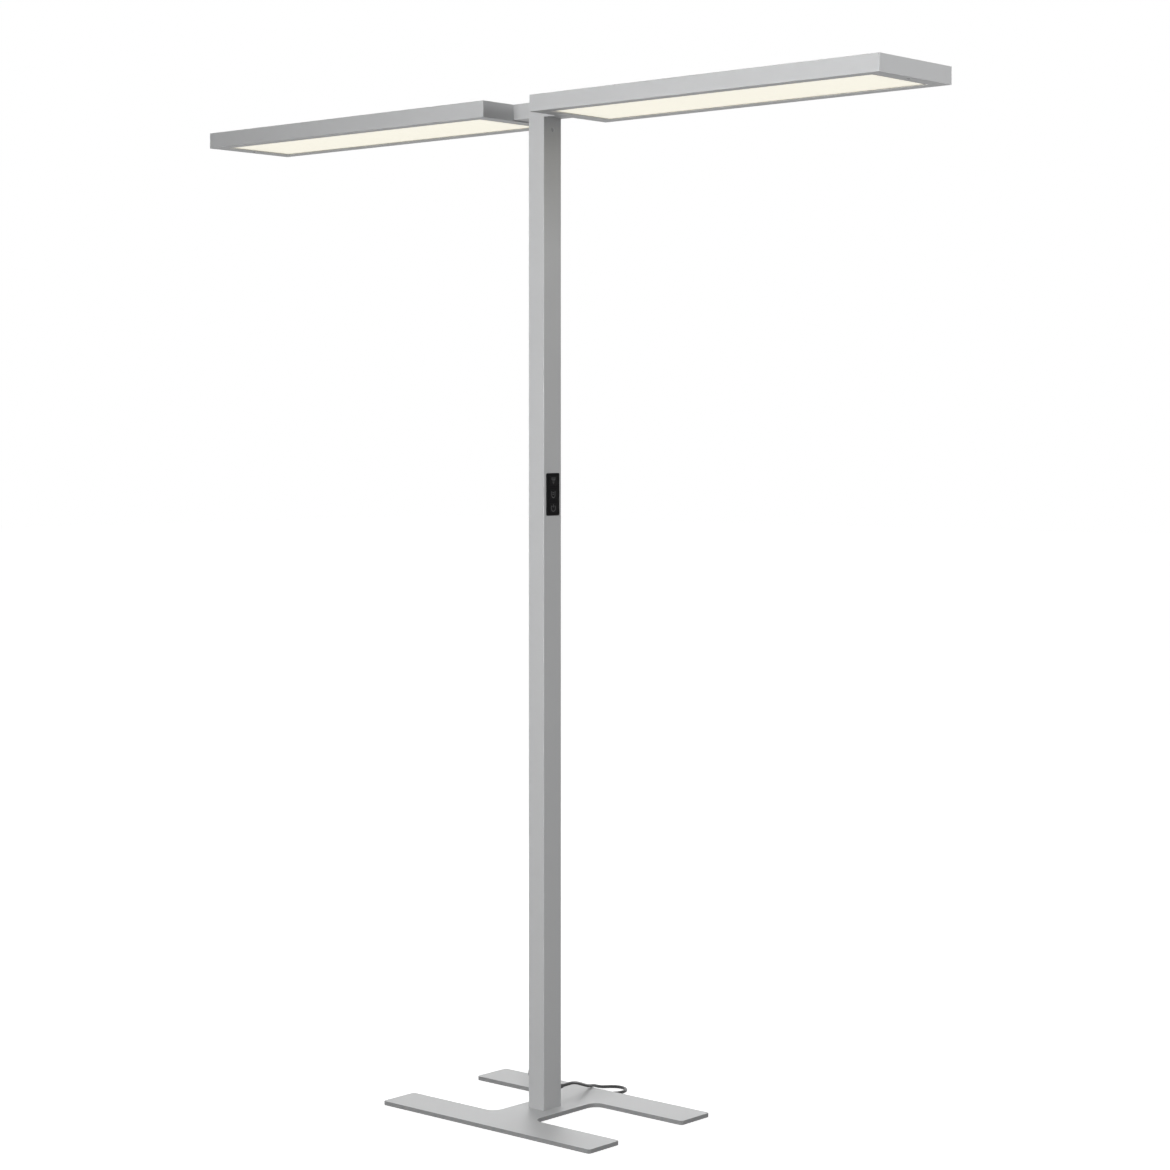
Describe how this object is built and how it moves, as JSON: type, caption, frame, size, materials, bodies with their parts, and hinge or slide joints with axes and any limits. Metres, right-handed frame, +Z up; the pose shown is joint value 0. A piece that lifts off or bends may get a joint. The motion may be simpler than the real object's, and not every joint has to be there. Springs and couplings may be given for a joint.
{
  "type": "office floor lamp",
  "caption": "Free-standing office floor lamp: H-shaped flat base, rectangular post and two flat luminous heads side by side, with a key panel on the post.",
  "frame": {"origin": "on the floor, in the middle of the base", "axes": "+X along the heads towards the right one, on whose side the key panel lies; +Y to the back of the lamp, where the cord leaves; +Z up"},
  "size_m": [1.72, 0.5135, 1.95],
  "materials": {
    "light_grey": "fine-textured light grey powder coat on aluminium",
    "base_steel": "fine-textured light grey powder coat on steel plate",
    "glides": "matt dark rubber",
    "inner_metal": "machined",
    "carrier_steel": "zinc plated flat bar",
    "screws": "zinc plated",
    "sheet_metal": "bare sheet",
    "reflector": "matt white sheet",
    "clear_plastic": "clear",
    "diffuser": "opal, lit from behind",
    "led_board": "white board with yellow packages",
    "white_plastic": "moulded",
    "sensor_lens": "dark tinted lens",
    "cord_jacket": "smooth satin black jacket",
    "tie_fabric": "woven hook and loop strap",
    "black_plastic": "fine spark-eroded texture",
    "pins": "nickel plated",
    "fascia": "satin dark grey",
    "board": "green board",
    "keys": "satin dark grey with a raised-contrast light mark"
  },
  "bodies": {
    "lamp": {"base_plate": "base_steel", "base_glides": "glides", "foot_block": "inner_metal", "foot_screws": "screws", "post": "light_grey", "top_block": "inner_metal", "post_set_screw": "screws", "crossbar": "light_grey", "crossbar_lid": "light_grey", "lid_screws": "screws", "head_carrier": "carrier_steel", "carrier_post_screws": "screws", "carrier_head_screws": "screws", "junction_block": "white_plastic", "supply_lead": "cord_jacket", "control_lead": "cord_jacket", "cord_gland": "black_plastic", "cord_run": "cord_jacket", "cord_hank": "cord_jacket", "cord_tail": "cord_jacket", "cord_tie": "tie_fabric", "mains_plug": "black_plastic", "plug_pins": "pins", "control_fascia": "fascia", "control_tray": "black_plastic", "control_board": "board", "key_switches": "black_plastic", "right_frame": "light_grey", "right_top_cover": "light_grey", "right_cover_screws": "screws", "right_back_plate": "sheet_metal", "right_reflector": "reflector", "right_light_guide": "clear_plastic", "right_diffuser": "diffuser", "right_led_strips": "led_board", "right_driver": "white_plastic", "right_mount_block": "inner_metal", "right_sensor": "sensor_lens", "right_head_lead": "cord_jacket", "left_frame": "light_grey", "left_top_cover": "light_grey", "left_cover_screws": "screws", "left_back_plate": "sheet_metal", "left_reflector": "reflector", "left_light_guide": "clear_plastic", "left_diffuser": "diffuser", "left_led_strips": "led_board", "left_driver": "white_plastic", "left_mount_block": "inner_metal", "left_sensor": "sensor_lens", "left_head_lead": "cord_jacket"},
    "key_up_body": {"key_up": "keys"},
    "key_down_body": {"key_down": "keys"},
    "key_power_body": {"key_power": "keys"}
  },
  "joints": [
    {"name": "key_up_press", "type": "slide", "parent": "lamp", "child": "key_up_body", "axis": [-1, 0, 0], "range_m": [0, 0.001], "stiffness_N_per_m": 500, "springref_m": -0.002},
    {"name": "key_down_press", "type": "slide", "parent": "lamp", "child": "key_down_body", "axis": [-1, 0, 0], "range_m": [0, 0.001], "stiffness_N_per_m": 500, "springref_m": -0.002},
    {"name": "key_power_press", "type": "slide", "parent": "lamp", "child": "key_power_body", "axis": [-1, 0, 0], "range_m": [0, 0.001], "stiffness_N_per_m": 500, "springref_m": -0.002}
  ]
}
